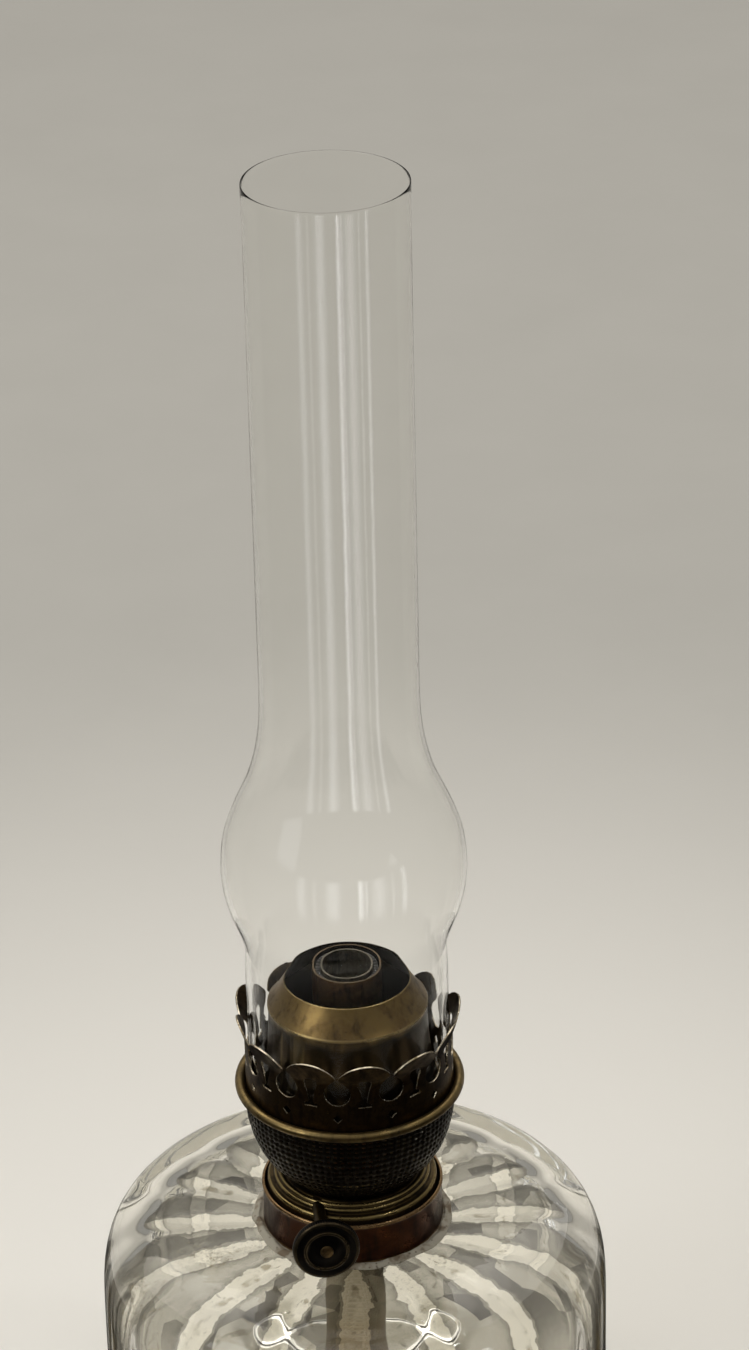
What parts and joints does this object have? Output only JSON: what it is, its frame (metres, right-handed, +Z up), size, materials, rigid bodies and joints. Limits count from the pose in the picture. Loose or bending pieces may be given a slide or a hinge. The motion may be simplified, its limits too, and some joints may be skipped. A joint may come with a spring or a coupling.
{
  "type": "oil lamp",
  "caption": "Table oil lamp: ribbed clear glass fount, round-wick brass burner with a pierced spring crown, winder knob and a tall bulged glass chimney.",
  "frame": {"origin": "centre of the fount's foot, on the table", "axes": "+Z up along the chimney; the winder shaft runs along -Y to its knob, beside the axis on the -X side"},
  "size_m": [0.1358, 0.1358, 0.3845],
  "materials": {
    "fount_glass": "clear pressed glass, faintly streaked and dusty",
    "chimney_glass": "thin clear blown glass",
    "cement": "rough aged plaster",
    "collar_brass": "reddish-brown patina, worn at the rim",
    "base_brass": "olive-brown aged brass, satin",
    "sooted_brass": "heat-darkened, sooted near the mouth",
    "tube_brass": "dull grey-brown",
    "dark_brass": "almost black patina",
    "crown_brass": "brown patina with bright worn edges",
    "cone_brass": "satin, brighter on the conical top, stained by heat",
    "winder_brass": "dull",
    "knob_metal": "blackened, rubbed on the rim",
    "wick_cotton": "woven cotton, charred at the top"
  },
  "bodies": {
    "fount": {"fount": "fount_glass", "neck_cement": "cement", "collar": "collar_brass"},
    "burner": {"burner_base": "base_brass", "wick_tube": "sooted_brass", "air_tube": "tube_brass", "air_tube_cap": "tube_brass", "air_duct": "tube_brass", "basket": "dark_brass", "gallery_ring": "base_brass", "crown": "crown_brass", "cone": "cone_brass", "shaft_sleeve": "base_brass", "wheel_box": "tube_brass"},
    "winder": {"winder_shaft": "winder_brass", "wheel_front": "winder_brass", "wheel_back": "winder_brass", "stop_ring": "winder_brass", "knob": "knob_metal", "knob_hub": "knob_metal"},
    "wick": {"wick": "wick_cotton"},
    "chimney": {"chimney": "chimney_glass"}
  },
  "joints": [
    {"name": "burner_lift", "type": "slide", "parent": "fount", "child": "burner", "axis": [0, 0, 1], "range_m": [0, 0.1]},
    {"name": "chimney_lift", "type": "slide", "parent": "burner", "child": "chimney", "axis": [0, 0, 1], "range_m": [0, 0.06]},
    {"name": "winder_turn", "type": "hinge", "parent": "burner", "child": "winder", "pos_m": [-0.01082, 0, 0.10195], "axis": [0, -1, 0], "range_deg": [-180, 180]},
    {"name": "wick_raise", "type": "slide", "parent": "burner", "child": "wick", "axis": [0, 0, 1], "range_m": [-0.008, 0.008]}
  ],
  "couplings": [
    {"joint": "wick_raise", "follows": "winder_turn", "m_per_rad": 0.0025}
  ]
}
